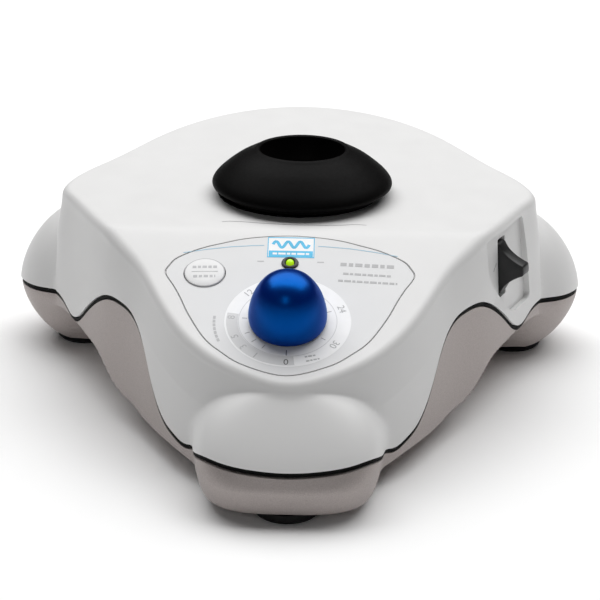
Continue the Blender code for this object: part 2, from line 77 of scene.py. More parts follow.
# Heights by angle from the front, in degrees: the parting line, and where the base starts to draw in.
PARTING = [(0, 15.5), (4.4, 15.9), (9.2, 16.6), (12.2, 16.5), (14.2, 14.9), (16, 12.4), (17.8, 10.9), (19.6, 10.9),
           (21.5, 11.9), (23.5, 13.1), (26.5, 16.6), (29.8, 23.0), (32.3, 28.8), (34.7, 33.0), (38.9, 36.9),
           (44.5, 38.1), (51, 37.4), (57.6, 33.6), (65.8, 26.4), (71.5, 21.3), (75.5, 20.5), (79, 22.0),
           (82.7, 23.4), (86.5, 23.0), (90.5, 21.9), (95, 21.1), (101, 20.2), (108, 20.4), (115, 21.4),
           (125, 22.8), (135, 23.4), (150, 24), (165, 24), (180, 24)]
LOWER = [(0, 3.5), (14, 5.0), (20, 7.2), (26, 7.9), (33, 8.3), (39, 9.3), (44.5, 10.2), (49, 12.5), (53, 15.4),
         (57.5, 17.7), (63, 18.5), (70, 18.8), (76, 19.0), (80, 19.2), (86, 18), (92, 14), (110, 9), (150, 6), (180, 6)]
TOP, BREAK, SLOPE = 57.0, -39.5, radians(22)
WALL, GAP, SOLE = 2.6, 1.6, 3.2
DRAFT = tan(radians(4))
# A toe is a rounded block at an angle: its centre is c0 out, it is a to each side and b forward, and its plan
# has the exponent n. It is widest at zw and ends at zu, and draws in below zs by back and side.
TOES = [dict(ang=0, c0=88, a=26.4, b=27.0, n=3.2, zw=10.0, zu=32.0, pa=2.45, pb=1.4, pc=1.0, b1=7.9,
             zb=3.0, back=3.0, side=1.05, zs=19.0),
        dict(ang=104.8, c0=70.3, a=22.8, b=22.8, n=2.0, zw=19.0, zu=45.5, pa=1.7, pb=1.7, pc=0.588, b1=0.0,
             zb=2.8, back=13.5, side=0.6, zs=19.0)]
# The walls lean in a little more just under the edge of the top, and the edge itself is rounded.
LEAN = [(0, 2.4), (17, 2.4), (30, 2.1), (38, 2.0), (43, 1.5), (48, 0.9), (56, 0.7), (66, 0.4), (76, 0.8), (83, 1.5),
        (89, 1.6), (97, 0.9), (110, 0.3), (130, 0), (180, 0)]
RIM = [(0, 2.2), (10, 2.4), (19, 3.0), (30, 3.0), (60, 3.0), (120, 3.0), (180, 3.0)]


def spline(points):
    """A cubic through the points, level at both ends."""
    xs, ys = [p[0] for p in points], [p[1] for p in points]
    n = len(xs)
    h = [xs[i + 1] - xs[i] for i in range(n - 1)]
    a, b, c, d = [0] * n, [0] * n, [0] * n, [0] * n
    b[0], c[0], d[0] = 2 * h[0], h[0], 6 * (ys[1] - ys[0]) / h[0]
    for i in range(1, n - 1):
        a[i], b[i], c[i] = h[i - 1], 2 * (h[i - 1] + h[i]), h[i]
        d[i] = 6 * ((ys[i + 1] - ys[i]) / h[i] - (ys[i] - ys[i - 1]) / h[i - 1])
    a[-1], b[-1], d[-1] = h[-1], 2 * h[-1], -6 * (ys[-1] - ys[-2]) / h[-1]
    for i in range(1, n):
        w = a[i] / b[i - 1]
        b[i] -= w * c[i - 1]
        d[i] -= w * d[i - 1]
    m = [0] * n
    m[-1] = d[-1] / b[-1]
    for i in range(n - 2, -1, -1):
        m[i] = (d[i] - c[i] * m[i + 1]) / b[i]

    def at(x):
        i = 0
        while i < n - 2 and x > xs[i + 1]:
            i += 1
        t, w = x - xs[i], h[i]
        u = w - t
        return ((m[i] * u**3 + m[i + 1] * t**3) / (6 * w) + (ys[i] / w - m[i] * w / 6) * u
                + (ys[i + 1] / w - m[i + 1] * w / 6) * t)

    return at


wall_r = spline([(degrees(atan2(x, -y)), hypot(x, y)) for x, y in PLAN])
part_z = spline(PARTING)
lower_z = spline(LOWER)
lean = spline(LEAN)
rim = spline(RIM)


def top_z(y):
    d = (BREAK - y) * tan(SLOPE)
    return TOP - 0.5 * (d + sqrt(d * d + 0.7**2))


def edge_z(ang):
    """Height at which the top would meet the wall if its edge were sharp."""
    return top_z(-cos(radians(ang)) * (wall_r(ang) - lean(ang) + DRAFT * 8))


def blend_max(a, b, k):
    """The larger of two, rounded where they meet, and exact further off."""
    h = max(k - abs(a - b), 0.0) / k
    return max(a, b) + h * h * k / 4


def toe_r(t, ang, z):
    """How far out a ray from the middle leaves a toe at height z, or 0 where it misses."""
    d = (sin(radians(ang)), -cos(radians(ang)))
    u = (sin(radians(t["ang"])), -cos(radians(t["ang"])))
    du, dv = d[0] * u[0] + d[1] * u[1], d[1] * u[0] - d[0] * u[1]
    a, b = t["a"], t["b"]
    if z >= t["zu"]:
        return 0.0
    if z > t["zw"]:
        q = (z - t["zw"]) / (t["zu"] - t["zw"])
        a *= (1 - q ** t["pa"]) ** (1 / t["pa"])
        b = t["b1"] + (b - t["b1"]) * (1 - q ** t["pb"]) ** t["pc"]
    if z < t["zs"]:
        q = min(1.0, (t["zs"] - z) / (t["zs"] - t["zb"]))
        w = t["back"] * (1 - (1 - q**1.6) ** (1 / 1.6))
        a, b = a - t["side"] * w, b - w
    if a < 0.3 or b < 0.3 or du < 0.3:
        return 0.0

    def past(r):
        return (abs(r * du - t["c0"]) / b) ** t["n"] + (abs(r * dv) / a) ** t["n"] > 1

    lo, hi = t["c0"] * du / (du * du + (dv * b / a) ** 2), t["c0"] + b + 5
    if past(lo):
        return 0.0
    for _ in range(26):
        m = (lo + hi) / 2
        lo, hi = (lo, m) if past(m) else (m, hi)
    return lo


def draft_r(ang, z):
    """The upright wall, which leans out a little towards the floor."""
    ang = abs(ang)
    near = min(1.0, max(0.0, (z - edge_z(ang) + 14) / 14))
    return wall_r(ang) + DRAFT * max(0.0, 52.0 - z) - lean(ang) * near


def outer_r(ang, z, inset=0.0, base=False):
    ang = abs(ang)
    r = draft_r(ang, z) - inset
    if base:
        r -= 1.7 * max(0.0, lower_z(ang) - z)
    front, side = [toe_r(t, ang, z) - inset for t in TOES]
    front_blend = 1.2 + 5.8 * min(1.0, max(0.0, (30.0 - z) / 12))
    return blend_max(blend_max(r, side, 5.0), front, front_blend)


def even(line, n):
    """The same line with n even steps along it."""
    run = [0.0]
    for p, q in zip(line, line[1:]):
        run.append(run[-1] + hypot(q[0] - p[0], q[1] - p[1]))
    out, i = [], 0
    for k in range(n + 1):
        at = run[-1] * k / n
        while i < len(run) - 2 and run[i + 1] < at:
            i += 1
        f = (at - run[i]) / (run[i + 1] - run[i])
        out.append(tuple(line[i][c] + (line[i + 1][c] - line[i][c]) * f for c in (0, 1)))
    return out


COLUMNS = 540
ANGLES = [-180 + 360 * i / COLUMNS for i in range(COLUMNS)]


def M(p):
    return (p[0] / 1000, (p[1] + SHIFT) / 1000, p[2] / 1000)


def mesh(name, points, faces, smooth=35):
    data = bpy.data.meshes.new(name)
    data.from_pydata([M(p) for p in points], [], faces)
    data.update()
    obj = bpy.data.objects.new(name, data)
    bpy.context.scene.collection.objects.link(obj)
    return outward(obj)


def outward(obj):
    total = 0.0
    v = obj.data.vertices
    for f in obj.data.polygons:
        p = [v[i].co for i in f.vertices]
        for i in range(1, len(p) - 1):
            total += p[0].dot(p[i].cross(p[i + 1]))
    if total < 0:
        obj.data.flip_normals()
    return obj


def soften(obj, angle=32):
    obj.data.polygons.foreach_set("use_smooth", [True] * len(obj.data.polygons))
    obj.data.set_sharp_from_angle(angle=radians(angle))
    return obj


def closed_grid(name, columns):
    m, n = len(columns[0]), len(columns)
    points = [p for col in columns for p in col]
    faces = []
    for i in range(n):
        j = (i + 1) % n
        for k in range(m):
            l = (k + 1) % m
            faces.append((i * m + k, j * m + k, j * m + l, i * m + l))
    return mesh(name, points, faces)


def frame_at(origin, direction, turn=0.0):
    z = Vector(direction).normalized()
    side = Vector((0, 0, 1)) if abs(z.z) < 0.9 else Vector((0, 1, 0))
    x = side.cross(z).normalized() if abs(z.z) < 0.9 else Vector((1, 0, 0))
    x = (x - z * x.dot(z)).normalized()
    y = z.cross(x)
    R = Matrix((x, y, z)).transposed().to_4x4()
    return Matrix.Translation(Vector(origin)) @ R @ Matrix.Rotation(radians(turn), 4, "Z")


UP = frame_at((0, 0, 0), (0, 0, 1))


def lathe(name, profile, at=UP, steps=96):
    """Turns a closed (radius, height) outline about the axis. A radius of 0 is on the axis."""
    points, rings = [], []
    for r, z in profile:
        if r < 1e-6:
            rings.append([len(points)])
            points.append(at @ Vector((0, 0, z)))
        else:
            rings.append([len(points) + i for i in range(steps)])
            points += [at @ Vector((x, y, z)) for x, y in circle(r, steps)]
    faces = []
    for k in range(len(rings)):
        a, b = rings[k], rings[(k + 1) % len(rings)]
        for i in range(steps):
            j = (i + 1) % steps
            if len(a) == 1 and len(b) == 1:
                continue
            if len(a) == 1:
                faces.append((a[0], b[j], b[i]))
            elif len(b) == 1:
                faces.append((a[i], a[j], b[0]))
            else:
                faces.append((a[i], a[j], b[j], b[i]))
    return soften(mesh(name, points, faces))


def curve(points, steps=8, closed=False):
    """A smooth line through (r, z) points (Catmull-Rom)."""
    n, out = len(points), []
    for i in range(n if closed else n - 1):
        p = [points[(i + k) % n] if closed else points[min(max(i + k, 0), n - 1)] for k in (-1, 0, 1, 2)]
        for s in range(steps):
            t = s / steps
            out.append(tuple(0.5 * (2 * p[1][c] + (p[2][c] - p[0][c]) * t
                                    + (2 * p[0][c] - 5 * p[1][c] + 4 * p[2][c] - p[3][c]) * t * t
                                    + (3 * p[1][c] - p[0][c] - 3 * p[2][c] + p[3][c]) * t**3) for c in (0, 1)))
    if not closed:
        out.append(tuple(points[-1]))
    return out


def prism(name, outline, z0, z1, at=UP):
    n = len(outline)
    points = [at @ Vector((x, y, z0)) for x, y in outline] + [at @ Vector((x, y, z1)) for x, y in outline]
    faces = [tuple(reversed(range(n))), tuple(range(n, 2 * n))]
    faces += [(i, (i + 1) % n, n + (i + 1) % n, n + i) for i in range(n)]
    return mesh(name, points, faces)


def rect(w, h, r=0.0, cx=0.0, cy=0.0, steps=6):
    if r <= 0:
        return [(cx - w / 2, cy - h / 2), (cx + w / 2, cy - h / 2), (cx + w / 2, cy + h / 2), (cx - w / 2, cy + h / 2)]
    out = []
    for k, (sx, sy) in enumerate(((1, 1), (-1, 1), (-1, -1), (1, -1))):
        for i in range(steps + 1):
            t = pi / 2 * (k + i / steps)
            out.append((cx + sx * (w / 2 - r) + r * cos(t), cy + sy * (h / 2 - r) + r * sin(t)))
    return out


def rounded(points, r, steps=6):
    """A polygon with every corner turned into an arc of about radius r."""
    out, n = [], len(points)
    for i in range(n):
        a, b, c = Vector(points[i - 1]), Vector(points[i]), Vector(points[(i + 1) % n])
        u, v = (a - b), (c - b)
        k = min(r, u.length * 0.45, v.length * 0.45)
        p, q = b + u.normalized() * k, b + v.normalized() * k
        for s in range(steps + 1):
            t = s / steps
            w = (1 - t) ** 2 * p + 2 * t * (1 - t) * b + t * t * q
            out.append((w.x, w.y))
    return out


def circle(r, steps=48, cx=0.0, cy=0.0):
    return [(cx + r * cos(2 * pi * i / steps), cy + r * sin(2 * pi * i / steps)) for i in range(steps)]


def combine(obj, tool, operation):
    mod = obj.modifiers.new("b", "BOOLEAN")
    mod.solver, mod.operation, mod.object = "EXACT", operation, tool
    bpy.context.view_layer.update()
    made = bpy.data.meshes.new_from_object(obj.evaluated_get(bpy.context.evaluated_depsgraph_get()))
    obj.modifiers.remove(mod)
    obj.data = made
    bpy.data.objects.remove(tool)
    return obj


def cut(obj, *tools):
    for tool in tools:
        combine(obj, tool, "DIFFERENCE")
    return obj


def join(obj, *tools):
    for tool in tools:
        combine(obj, tool, "UNION")
    return obj


def bevelled(obj, width, segments=3, angle=30):
    mod = obj.modifiers.new("bevel", "BEVEL")
    mod.width, mod.segments = width / 1000, segments
    mod.limit_method, mod.angle_limit = "ANGLE", radians(angle)
    mod.harden_normals = False
    bpy.context.view_layer.update()
    made = bpy.data.meshes.new_from_object(obj.evaluated_get(bpy.context.evaluated_depsgraph_get()))
    obj.modifiers.remove(mod)
    obj.data = made
    return obj


# ------------------------------------------------------------------ materials
def material(name, color, rough=0.5, metallic=0.0, **more):
    m = bpy.data.materials.new(name)
    m.use_nodes = True
    bsdf = m.node_tree.nodes["Principled BSDF"]
    bsdf.inputs["Base Color"].default_value = (*color, 1)
    bsdf.inputs["Roughness"].default_value = rough
    bsdf.inputs["Metallic"].default_value = metallic
    for key, value in more.items():
        bsdf.inputs[key.replace("_", " ")].default_value = value
    return m


def coords(m):
    n = m.node_tree.nodes
    got = n.get("coords") or n.new("ShaderNodeTexCoord")
    got.name = "coords"
    return got.outputs["Object"]


def noise(m, scale, detail=4, rough=0.6):
    """Noise whose scale is in cells per metre."""
    t = m.node_tree
    n = t.nodes.new("ShaderNodeTexNoise")
    n.inputs["Scale"].default_value = scale
    n.inputs["Detail"].default_value = detail
    n.inputs["Roughness"].default_value = rough
    t.links.new(coords(m), n.inputs["Vector"])
    return n.outputs["Fac"]


def ramp(m, fac, stops):
    t = m.node_tree
    n = t.nodes.new("ShaderNodeValToRGB")
    e = n.color_ramp.elements
    while len(e) < len(stops):
        e.new(0.5)
    for el, (pos, col) in zip(e, stops):
        el.position = pos
        el.color = (*col, 1) if len(col) == 3 else col
    t.links.new(fac, n.inputs["Fac"])
    return n.outputs["Color"]


def use(m, out, socket):
    m.node_tree.links.new(out, m.node_tree.nodes["Principled BSDF"].inputs[socket])


def bump(m, fac, strength, distance):
    t = m.node_tree
    n = t.nodes.new("ShaderNodeBump")
    n.inputs["Strength"].default_value = strength
    n.inputs["Distance"].default_value = distance
    t.links.new(fac, n.inputs["Height"])
    if t.nodes["Principled BSDF"].inputs["Normal"].is_linked:
        t.links.new(t.nodes["Principled BSDF"].inputs["Normal"].links[0].from_socket, n.inputs["Normal"])
    use(m, n.outputs["Normal"], "Normal")


def shade(m, color, spread, scale, rough=None, detail=4):
    """Uneven colour: color times 1-spread to 1+spread, over noise of this scale, and roughness between two values."""
    f = noise(m, scale, detail)
    lo, hi = [max(0.0, c * (1 - spread)) for c in color], [min(1.0, c * (1 + spread)) for c in color]
    use(m, ramp(m, f, [(0.3, lo), (0.7, hi)]), "Base Color")
    if rough:
        stops = [(0.3, (rough[0],) * 3), (0.7, (rough[1],) * 3)]
        use(m, ramp(m, noise(m, scale * 1.7, detail), stops), "Roughness")
    return m


def put(obj, mat):
    obj.data.materials.clear()
    obj.data.materials.append(mat)
    return obj


PAINT = (0.765, 0.762, 0.758)
paint = shade(material("shell_paint", PAINT, 0.45), PAINT, 0.008, 60, (0.42, 0.50))
bump(paint, noise(paint, 1800, 3), 0.06, 0.00006)
METAL_DARK, METAL_LIGHT = (0.36, 0.32, 0.306), (0.48, 0.43, 0.415)
metal = material("base_metal", (0.42, 0.368, 0.35), 0.48, 0.35)
use(metal, ramp(metal, noise(metal, 4200, 2, 0.6), [(0.3, METAL_DARK), (0.7, METAL_LIGHT)]), "Base Color")
use(metal, ramp(metal, noise(metal, 1500, 3), [(0.3, (0.44,) * 3), (0.7, (0.54,) * 3)]), "Roughness")
bump(metal, noise(metal, 4200, 2), 0.10, 0.00006)
CUP_BLACK = (0.0018, 0.0016, 0.0016)
rubber = material("cup_rubber", CUP_BLACK, 0.5, Specular_IOR_Level=0.05)
shade(rubber, CUP_BLACK, 0.35, 900, (0.44, 0.56))
bump(rubber, noise(rubber, 3200, 3), 0.35, 0.0001)
SEAL_BLACK, FOOT_BLACK = (0.004,) * 3, (0.008,) * 3
gasket = shade(material("seal_rubber", SEAL_BLACK, 0.7, Specular_IOR_Level=0.1), SEAL_BLACK, 0.3, 300, (0.6, 0.8))
foot_mat = shade(material("foot_rubber", FOOT_BLACK, 0.7, Specular_IOR_Level=0.2), FOOT_BLACK, 0.3, 300, (0.6, 0.8))
BLUE = (0.0, 0.008, 0.21)
blue = material("knob_blue", BLUE, 0.24, 0.5, IOR=2.4, Specular_IOR_Level=0.6, Specular_Tint=(0.0, 0.46, 1.0, 1))
shade(blue, BLUE, 0.04, 120, (0.30, 0.36))
bump(blue, noise(blue, 1500, 2), 0.04, 0.00004)
FILM = (0.735, 0.738, 0.742)
film = shade(material("label_film", FILM, 0.42), FILM, 0.008, 80, (0.38, 0.46))
bump(film, noise(film, 2600, 2), 0.05, 0.00004)


def plain(name, color, rough, spread=0.08, metallic=0.0, scale=200, grain=0.06):
    m = shade(material(name, color, rough, metallic), color, spread, scale, (rough * 0.88, min(1.0, rough * 1.14)))
    bump(m, noise(m, 2000, 2), grain, 0.00006)
    return m


# Dark grey used only for the painted shadow in the gap round the label.
label_gap_shade_grey = plain("label_gap_shade_grey", (0.17, 0.165, 0.165), 0.5)
ink_dark = plain("ink_dark", (0.10, 0.10, 0.10), 0.5)
ink_blue = plain("ink_blue", (0.34, 0.55, 0.68), 0.45)
ink_cyan = plain("ink_cyan", (0.05, 0.50, 0.80), 0.45)
ink_pale = plain("ink_pale", (0.50, 0.50, 0.51), 0.45)
# Grey print ink, also used for the painted shade of the crease in the top in front of the cup.
ink_and_crease_shade_mid = plain("ink_and_crease_shade_mid", (0.44, 0.44, 0.446), 0.45)
ink_band = plain("ink_band", (0.67, 0.672, 0.675), 0.45, 0.02)
ink_white = plain("ink_white", (0.92, 0.922, 0.925), 0.45, 0.02)
key_mat = plain("key_white", (0.80, 0.80, 0.80), 0.42, 0.02)
black = plain("black_plastic", (0.005, 0.005, 0.0055), 0.42)
lens = material("lens_green", (0.30, 0.62, 0.01), 0.15, Emission_Color=(0.50, 0.85, 0.01, 1), Emission_Strength=0.62)
steel = plain("bare_steel", (0.56, 0.55, 0.53), 0.3, 0.1, 1.0, 400)
spring_m = plain("spring_steel", (0.5, 0.5, 0.5), 0.25, 0.1, 1.0, 400)
alu = plain("carrier_alu", (0.75, 0.75, 0.76), 0.32, 0.06, 1.0, 400)
can = plain("motor_steel", (0.35, 0.35, 0.36), 0.4, 0.1, 0.8, 200)
green = plain("board_green", (0.02, 0.13, 0.05), 0.4, 0.15)
brass = plain("pin_brass", (0.80, 0.68, 0.42), 0.25, 0.06, 1.0, 500)
silver_film = plain("plate_film", (0.62, 0.62, 0.60), 0.35, 0.04, 0.4)
# The pieces that keep the CAD's own shape take their looks by slot.
SLOTS = {"bare_steel": steel, "spring_steel": spring_m, "motor_steel": can, "board_green": green,
         "part_black": black, "inlet_plastic": black, "pin_brass": brass, "carrier_metal": alu,
         "foot_rubber": foot_mat, "cup_rubber": rubber, "bezel_plastic": black, "label_film": silver_film}
for part in frame["record"]["subparts"]:
    if part["material_slot"] in SLOTS:
        put(NODES[part["node"]], SLOTS[part["material_slot"]])

# ------------------------------------------------------------------ places
AXIS = (0.0, -4.56)
THROW = (1.13, -1.94)
CUP = (AXIS[0] + THROW[0], AXIS[1] + THROW[1])
ORBIT = frame_at((CUP[0], CUP[1], 0), (0, 0, 1))
DIAL_X, DIAL_Y = -1.0, -74.5
DIAL_Z = TOP - (BREAK - DIAL_Y) * tan(SLOPE)
TILT = Matrix(((1, 0, 0), (0, cos(SLOPE), -sin(SLOPE)), (0, sin(SLOPE), cos(SLOPE))))
PANEL = Matrix.Translation(Vector((DIAL_X, DIAL_Y, DIAL_Z))) @ TILT.to_4x4()
KEY = (-24.0, 18.7)
LED = (-0.1, 23.3)


def on_wall(ang, z, height):
    """A point on the wall at an angle, where it stands at height z, put at another height."""
    r = draft_r(ang, z)
    return Vector((r * sin(radians(ang)), -r * cos(radians(ang)), height))


# The switch sits in a recess across the right flank, which tilts a little.
along = (on_wall(78.0, 40, 0) - on_wall(56.0, 40, 0)).normalized()
outwards = Vector((along.y, -along.x, 0))
FLANK_TILT = radians(4.3)
SIDE_UP = Vector((0, 0, cos(FLANK_TILT))) - outwards * sin(FLANK_TILT)
SIDE_N = outwards * cos(FLANK_TILT) + Vector((0, 0, sin(FLANK_TILT)))
SIDE = Matrix.Translation(on_wall(67, 40, 40.0)) @ Matrix((along, SIDE_UP, SIDE_N)).transposed().to_4x4()
RECESS = [(-14.8, 14.2), (-14.8, 4.5), (-12.8, 0.2), (-6.0, -6.4), (1.0, -12.0), (4.2, -13.4), (14.8, -13.2),
          (16.2, -12.0), (12.9, 13.2), (11.8, 14.3)]
PAD = [(x * 1.12, min(y * 1.1, 14.9)) for x, y in RECESS]
ROCK = (-1.4, 2.3)

# ------------------------------------------------------------------ upper shell
ROWS = 90
NECK_HOLE = 17.5
EDGE_WEIGHT = 0.75  # how far the rounded edge reaches towards its corner
columns = []
for ang in ANGLES:
    a = abs(ang)
    d = (sin(radians(ang)), -cos(radians(ang)))
    rho, zp = rim(a), part_z(a)
    ze = edge_z(a)
    loop = []
    heights = [zp + (ze - rho - zp) * i / 160 for i in range(161)]
    for r, z in even([(outer_r(a, z), z) for z in heights], ROWS):
        loop.append((d[0] * r, d[1] * r, z))
    rw = r
    rb = rw - rho
    zt = top_z(d[1] * rb)
    for t in [i / 10 for i in range(1, 11)]:
        w = EDGE_WEIGHT
        s = (1 - t) ** 2 + 2 * w * t * (1 - t) + t * t
        r = ((1 - t) ** 2 * rw + 2 * w * t * (1 - t) * rw + t * t * rb) / s
        z = ((1 - t) ** 2 * (ze - rho) + 2 * w * t * (1 - t) * ze + t * t * zt) / s
        loop.append((d[0] * r, d[1] * r, z))
    hx, hy = AXIS[0] + NECK_HOLE * d[0], AXIS[1] + NECK_HOLE * d[1]
    for q in [i / 24 for i in range(1, 25)]:
        x, y = d[0] * rb * (1 - q) + hx * q, d[1] * rb * (1 - q) + hy * q
        loop.append((x, y, top_z(y)))
    for q in (1.0, 0.6, 0.3, 0.0):
        x, y = d[0] * (rb - 1.2) * (1 - q) + hx * q, d[1] * (rb - 1.2) * (1 - q) + hy * q
        loop.append((x, y, top_z(y) - WALL))
    for q in (1.0, 0.5, 0.0):
        z = zp + (ze - WALL - 4.0 - zp) * q
        ri = draft_r(a, z) - WALL
        loop.append((d[0] * ri, d[1] * ri, z))
    columns.append(loop)
shell = closed_grid("shell_skin", columns)
join(shell, prism("t", PAD, -6.6, -1.2, SIDE))
cut(shell, prism("t", rounded(RECESS, 0.8), -1.7, 8.0, SIDE))
cut(shell, prism("t", rect(5.4, 18.4, 0.6, *ROCK), -12, 2.0, SIDE))
REAR = Matrix.Translation(Vector((0, 93, 38.0))) @ Matrix(((-1, 0, 0), (0, 0, 1), (0, 1, 0))).to_4x4()
join(shell, prism("t", rect(38, 26.5, 1.5), -8.0, -0.1, REAR))
cut(shell, prism("t", rect(31.4, 24.4, 1.6), -2.3, 5.0, REAR))
cut(shell, prism("t", rect(27.8, 20.6, 1.0), -12.0, 2.0, REAR))
LABEL = [(0, 35), (12, 33.7), (20, 31.2), (26, 28.8), (31.8, 25.1), (33.9, 22.2), (35, 18.5), (32.3, 13.2),
         (30.2, 8.7), (27.3, 1.7), (22.6, -7), (18, -12), (11.4, -17), (0, -20.7)]
outline = LABEL + [(-x, y) for x, y in reversed(LABEL[1:-1])]
outline = curve(outline, 6, True)
cut(shell, prism("t", [(x * 1.008, (y - 7) * 1.008 + 7) for x, y in outline], -0.5, 4.0, PANEL))
cut(shell, prism("t", circle(4.6), -8, 4, PANEL))
cut(shell, prism("t", circle(2.3, 32, *LED), -8, 4, PANEL))
cut(shell, prism("t", circle(6.0, 64, *KEY), -8, 4, PANEL))
put(soften(shell, 28), paint)
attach(shell, "housing")
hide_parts("upper_shell")

# ------------------------------------------------------------------ base casting
columns = []
for ang in ANGLES:
    a = abs(ang)
    d = (sin(radians(ang)), -cos(radians(ang)))
    zp = part_z(a) - GAP
    loop = []
    n = 40
    for q in [i / n for i in range(n + 1)]:
        z = zp + (SOLE - zp) * q
        r = outer_r(a, z, 0.5, True)
        loop.append((d[0] * r, d[1] * r, z))
    for q in (0.3, 0.6, 0.85, 1.0):
        rr = r * (1 - q) + 12 * q
        loop.append((d[0] * rr, d[1] * rr, SOLE))
    loop.append((d[0] * 12, d[1] * 12, SOLE + 3.5))
    for q in (0.0, 0.35, 0.7, 1.0):
        z = SOLE + 3.5 + (zp - SOLE - 3.5) * q
        r = draft_r(a, z) - 4.0 - 1.7 * max(0.0, min(lower_z(a) + 2.2, zp) - z)
        loop.append((d[0] * r, d[1] * r, z))
    columns.append(loop)
base = closed_grid("base_skin", columns)
join(base, prism("t", circle(12.6, 96), SOLE, SOLE + 3.5))
FEET = {"foot_front": (0, -102.5), "foot_left": (-69.5, 15), "foot_right": (69.5, 15), "foot_rear": (0, 72)}
for x, y in FEET.values():
    cut(base, prism("t", circle(4.4, 32, x, y), 0, 9.0 if y > 50 else 11.0))
for x, y in ((26, -58), (-26, -58), (46, 10), (-46, 10)):
    cut(base, prism("t", circle(4.2, 32, x, y), 0, 5.6), prism("t", circle(2.1, 24, x, y), 0, 12))
put(soften(base, 40), metal)
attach(base, "housing")
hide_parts("base_casting")

# ------------------------------------------------------------------ seal in the parting line
columns = []
for ang in ANGLES:
    a = abs(ang)
    d = (sin(radians(ang)), -cos(radians(ang)))
    zp = part_z(a)
    ro, ri = outer_r(a, zp) - 0.5, draft_r(a, zp) - WALL + 0.2
    ro = max(ro, ri + 1.0)
    low, high = zp - GAP + 0.3, zp - 0.3
    columns.append([(d[0] * r, d[1] * r, z) for r, z in ((ro, low), (ro, high), (ri, high), (ri, low))])
seal = put(soften(closed_grid("seal_line", columns)), gasket)
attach(seal, "housing")
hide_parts("parting_seal")

# ------------------------------------------------------------------ label, its print, and the painted shadow at its edge
label = prism("label_film", outline, -0.4, -0.02, PANEL)
cut(label, prism("t", circle(4.6), -2, 2, PANEL))
cut(label, prism("t", circle(2.3, 32, *LED), -2, 2, PANEL))
cut(label, prism("t", circle(6.0, 64, *KEY), -2, 2, PANEL))
put(soften(label), film)
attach(label, "housing")
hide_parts("control_label")

INK = 0.02
prints_and_shades = []


def printed(name, outline, mat, at=PANEL, z=INK):
    obj = put(prism(name, outline, z - 0.03, z, at), mat)
    prints_and_shades.append(obj)
    return obj


def band(name, line, width, mat, at=PANEL, z=INK, closed=False):
    """A line of even width along (x, y) points: a print, or painted shade along a crease or gap."""
    n, left, right = len(line), [], []
    for i in range(n):
        a = line[(i - 1) % n] if closed or i else line[0]
        b = line[(i + 1) % n] if closed or i < n - 1 else line[-1]
        d = Vector((b[0] - a[0], b[1] - a[1])).normalized() * width / 2
        left.append((line[i][0] - d.y, line[i][1] + d.x))
        right.append((line[i][0] + d.y, line[i][1] - d.x))
    points, faces = [], []
    for i in range(n):
        corners = ((left[i], z - 0.03), (right[i], z - 0.03), (right[i], z), (left[i], z))
        points += [at @ Vector((*p, height)) for p, height in corners]
    for i in range(n if closed else n - 1):
        j = (i + 1) % n
        for k in range(4):
            l = (k + 1) % 4
            faces.append((4 * i + k, 4 * i + l, 4 * j + l, 4 * j + k))
    if not closed:
        faces += [(3, 2, 1, 0), (4 * n - 4, 4 * n - 3, 4 * n - 2, 4 * n - 1)]
    obj = put(mesh(name, points, faces), mat)
    prints_and_shades.append(obj)
    return obj


def arc(r, a0, a1, steps=48):
    """Points at clock angles from the bottom of the dial, in degrees clockwise."""
    turns = [radians(a0 + (a1 - a0) * i / steps) for i in range(steps + 1)]
    return [(-r * sin(t), -r * cos(t)) for t in turns]


# Painted shadow: a thin dark line along the edge of the film stands for the shade in the gap round the label.
band("painted_label_gap_shade", [(x * 0.997, (y - 7) * 0.997 + 7) for x, y in outline], 0.17, label_gap_shade_grey, closed=True)
printed("print_disc", circle(17.4, 120), ink_white)
band("print_arc_low", arc(15.3, -8, 100), 3.2, ink_band, z=INK + 0.015)
band("print_ring_inner", circle(13.5, 100), 0.22, ink_band, z=INK + 0.02, closed=True)
SCALE = [(0, "0"), (32, "1"), (49, "3"), (66, "5"), (94, "8"), (134, "12"), (190, "18"), (251, "24"), (304, "30")]


def text(name, body, size, x, y, turn, mat, at=PANEL, z=INK):
    data = bpy.data.curves.new(name, "FONT")
    data.body, data.size, data.extrude = body, size, 0.015
    data.align_x, data.align_y = "CENTER", "CENTER"
    tmp = bpy.data.objects.new(name, data)
    bpy.context.scene.collection.objects.link(tmp)
    bpy.context.view_layer.update()
    got = bpy.data.meshes.new_from_object(tmp.evaluated_get(bpy.context.evaluated_depsgraph_get()))
    bpy.data.objects.remove(tmp)
    c, s = cos(radians(turn)), sin(radians(turn))
    for v in got.vertices:
        p = at @ Vector((x + v.co.x * c - v.co.y * s, y + v.co.x * s + v.co.y * c, z - 0.015 + v.co.z))
        v.co = M(p)
    obj = bpy.data.objects.new(name, got)
    bpy.context.scene.collection.objects.link(obj)
    put(obj, mat)
    prints_and_shades.append(obj)
    return obj


for clock, number in SCALE:
    u, v = -sin(radians(clock)), -cos(radians(clock))
    mat, reach = (ink_dark, 13.2) if clock == 0 else (ink_and_crease_shade_mid, 12.6)
    text("print_number_%s" % number, number, 2.9, 15.5 * u, 15.5 * v, 180 - clock, mat, z=INK + 0.03)
    band("print_tick_%s" % number, [(11.2 * u, 11.2 * v), (reach * u, reach * v)], 0.24, mat, z=INK + 0.03)


def words(name, x0, x1, y, height, mat, lengths, slope=0.0, at=PANEL, z=INK):
    """A row of short dashes in place of lettering."""
    x, i, gap = x0, 0, 0.45 * height
    while x < x1 - 0.3:
        w = min(lengths[i % len(lengths)] * height, x1 - x)
        dash = [(x, y + slope * (x - x0)), (x + w, y + slope * (x + w - x0))]
        band("%s_%d" % (name, i + 1), dash, height, mat, at, z)
        x, i = x + w + gap, i + 1


